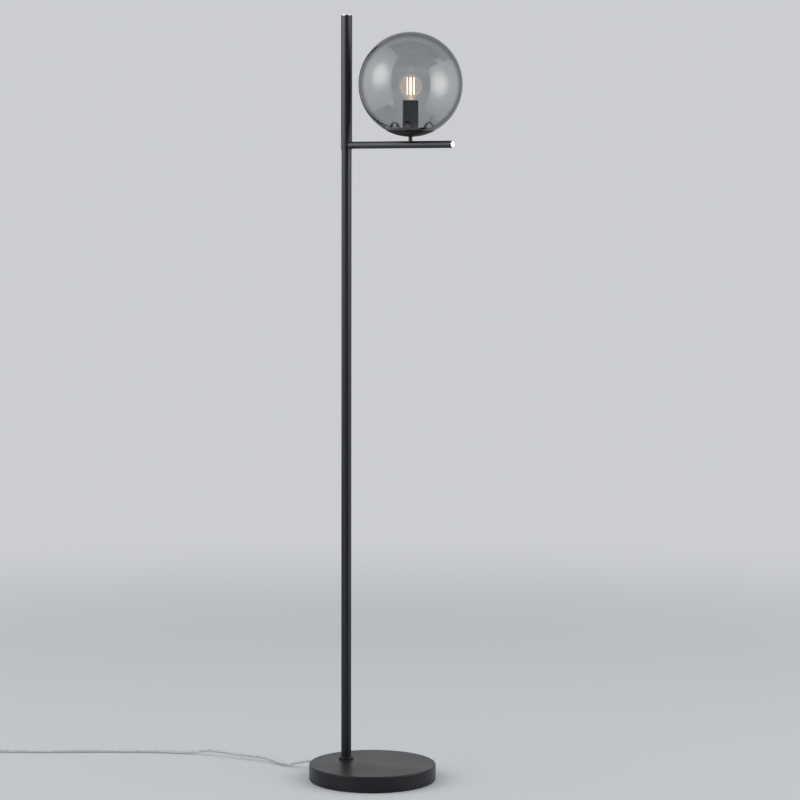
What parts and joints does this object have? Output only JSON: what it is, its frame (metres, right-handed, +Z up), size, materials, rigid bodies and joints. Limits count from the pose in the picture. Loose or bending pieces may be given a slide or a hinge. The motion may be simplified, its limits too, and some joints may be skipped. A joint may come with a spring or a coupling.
{
  "type": "globe floor lamp",
  "caption": "Slim black floor lamp: round weighted base, off-centre pole, short side arm carrying a smoked glass globe over a filament bulb, with a clear lead, foot switch and plug.",
  "frame": {"origin": "centre of the base's underside, on the floor", "axes": "+Z up; the arm points along +X; the mains lead leaves the base towards -X; the lamp without its lead is symmetric about the XZ plane"},
  "size_m": [1.176, 0.5384, 1.5],
  "materials": {
    "black_metal": "matt powder coat",
    "polished_nickel": "polished",
    "steel": "zinc plated",
    "spring_steel": "blackened spring steel",
    "cast_iron": "as cast",
    "tie_fabric": "woven band",
    "felt": "felt",
    "black_plastic": "matt moulded",
    "white_plastic": "moulded",
    "clear_plastic": "clear soft moulding",
    "clear_cord": "clear PVC over pale cores",
    "inner_cable": "sheathed cable",
    "brass": "pressed",
    "bulb_nickel": "nickel plated",
    "clear_glass": "clear",
    "smoked_glass": "smoked grey, glossy",
    "filament": "lit warm white"
  },
  "bodies": {
    "root": {"arm_boss": "steel", "arm_cap": "polished_nickel", "arm_root_plug": "steel", "arm_stud": "steel", "arm_tube": "black_metal", "base_collar": "black_metal", "base_cover": "black_metal", "base_pad": "felt", "base_plate": "steel", "base_stud": "steel", "base_weight": "cast_iron", "bulb_bridges": "steel", "bulb_cap": "bulb_nickel", "bulb_filaments": "filament", "bulb_glass": "clear_glass", "bulb_stem": "clear_glass", "clamp_screws": "steel", "coil_ties": "tie_fabric", "cord_clamp": "black_plastic", "cord_coil": "clear_cord", "cord_grommet": "clear_plastic", "cord_inlet": "clear_cord", "cord_link": "clear_cord", "cord_run": "clear_cord", "cord_tail": "clear_cord", "globe": "smoked_glass", "globe_cup": "black_metal", "globe_spring": "spring_steel", "head_block": "steel", "head_nipple": "steel", "holder_body": "black_plastic", "holder_contact": "brass", "holder_shell": "brass", "holder_sleeve": "black_metal", "inner_cable": "inner_cable", "neck_sleeve": "black_metal", "nipple_nut": "steel", "pin_sleeves": "black_plastic", "plate_screws": "steel", "plug_body": "black_plastic", "plug_pins": "bulb_nickel", "pole_cap": "polished_nickel", "pole_coupler": "steel", "pole_foot": "steel", "pole_lower": "black_metal", "pole_middle": "black_metal", "pole_top": "black_metal", "stud_nut": "steel", "stud_washer": "steel", "switch_base": "black_plastic", "switch_cover": "black_plastic", "switch_screws": "steel", "terminal_block": "white_plastic"},
    "button": {"switch_button": "black_plastic"}
  },
  "joints": [
    {"name": "switch_press", "type": "slide", "parent": "root", "child": "button", "axis": [0, 0, -1], "range_m": [0, 0.003], "stiffness_N_per_m": 500, "springref_m": -0.002}
  ]
}
